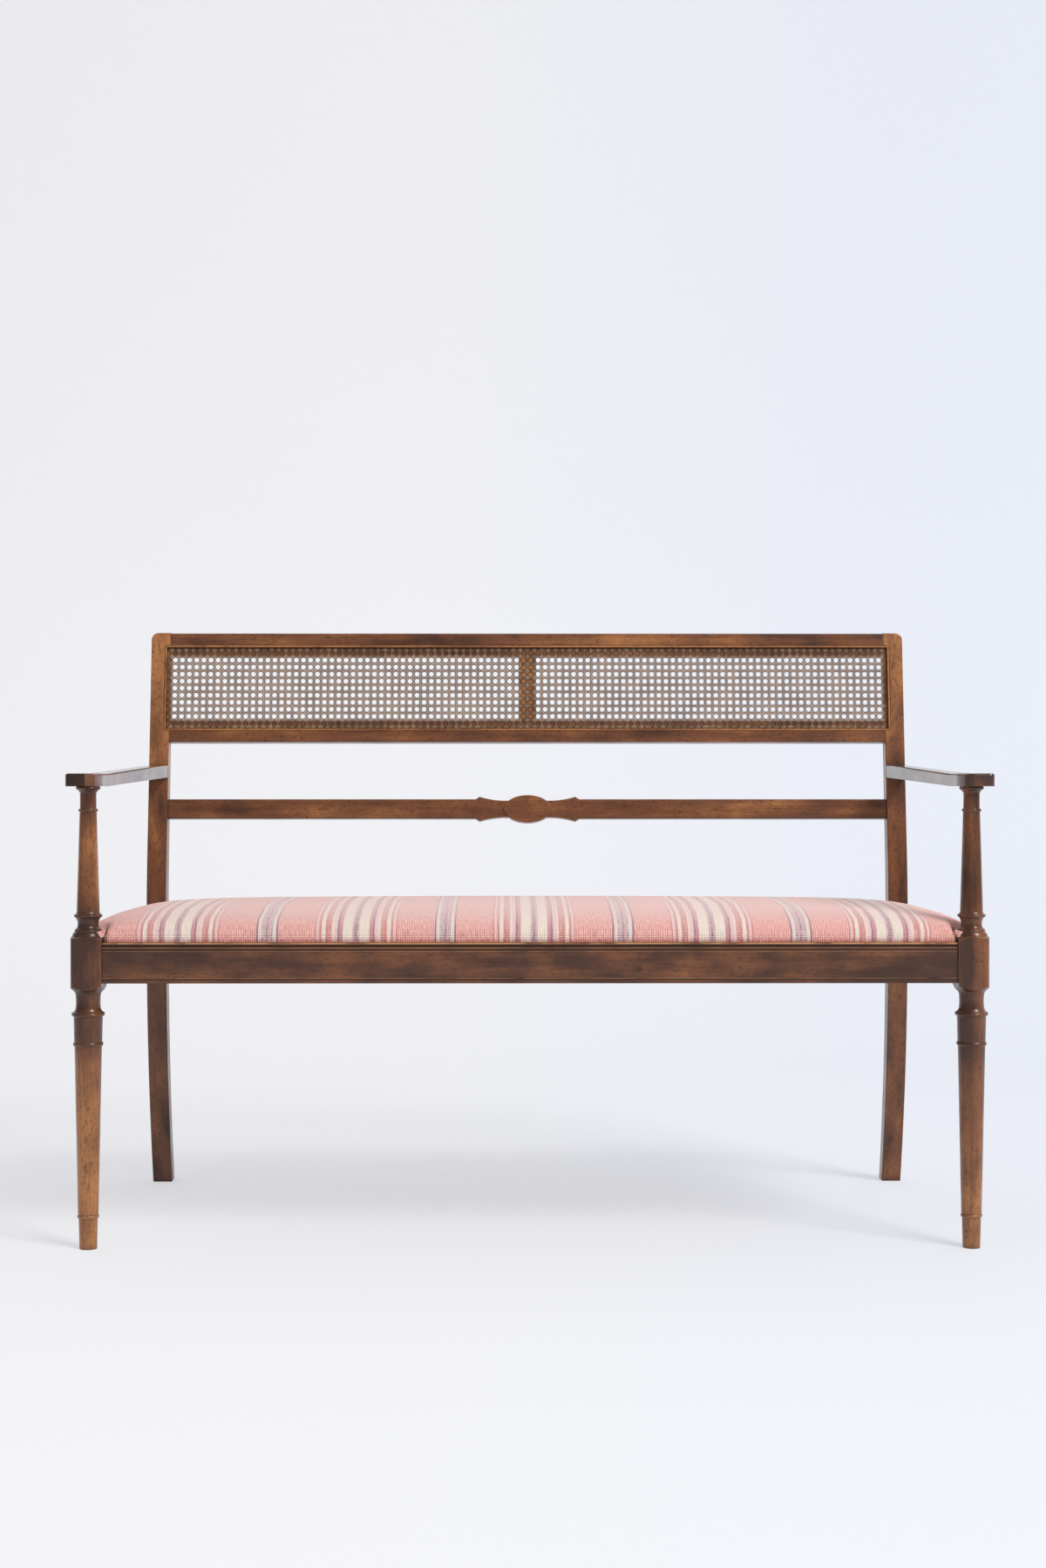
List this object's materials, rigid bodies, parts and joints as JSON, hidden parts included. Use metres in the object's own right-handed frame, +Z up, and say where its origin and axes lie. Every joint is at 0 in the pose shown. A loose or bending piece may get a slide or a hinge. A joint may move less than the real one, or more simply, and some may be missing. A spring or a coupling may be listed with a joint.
{
  "type": "settee",
  "caption": "Long wooden settee with turned front legs, swept rear legs, open arms, a caned back and a lift-out striped upholstered seat.",
  "frame": {"origin": "on the floor under the middle of the settee's overall width and depth", "axes": "+X to the right along the seat as seen from in front, +Y from front to back, +Z up"},
  "size_m": [1.25, 0.555, 0.864],
  "materials": {
    "polished_wood": "worn semi-gloss polish",
    "bare_beech": "bare planed wood",
    "woven_cane": "aged woven cane",
    "striped_cover": "woven stripes",
    "stuffing": "curled hair and wadding",
    "hessian_cloth": "plain weave",
    "jute_webbing": "herringbone weave",
    "screw_steel": "dull steel"
  },
  "bodies": {
    "frame": {"arm_left": "polished_wood", "arm_right": "polished_wood", "back_bottom_rail": "polished_wood", "back_mid_rail": "polished_wood", "back_top_rail": "polished_wood", "cane_bead_bottom": "polished_wood", "cane_bead_left": "polished_wood", "cane_bead_right": "polished_wood", "cane_bead_top": "polished_wood", "cane_muntin": "polished_wood", "cane_panel": "woven_cane", "corner_block_front_left": "bare_beech", "corner_block_front_right": "bare_beech", "corner_block_rear_left": "bare_beech", "corner_block_rear_right": "bare_beech", "corner_block_screws": "screw_steel", "front_leg_left": "polished_wood", "front_leg_right": "polished_wood", "front_seat_rail": "polished_wood", "rear_post_left": "polished_wood", "rear_post_right": "polished_wood", "rear_seat_rail": "polished_wood", "seat_cross_rail": "bare_beech", "side_seat_rail_left": "polished_wood", "side_seat_rail_right": "polished_wood"},
    "seat": {"hessian": "hessian_cloth", "seat_cover": "striped_cover", "seat_frame_front": "bare_beech", "seat_frame_left": "bare_beech", "seat_frame_middle": "bare_beech", "seat_frame_rear": "bare_beech", "seat_frame_right": "bare_beech", "seat_padding": "stuffing", "webbing_crosswise": "jute_webbing", "webbing_lengthwise": "jute_webbing"}
  },
  "joints": [
    {"name": "seat_lift", "type": "slide", "parent": "frame", "child": "seat", "axis": [0, 0, 1], "range_m": [0, 0.12]}
  ]
}
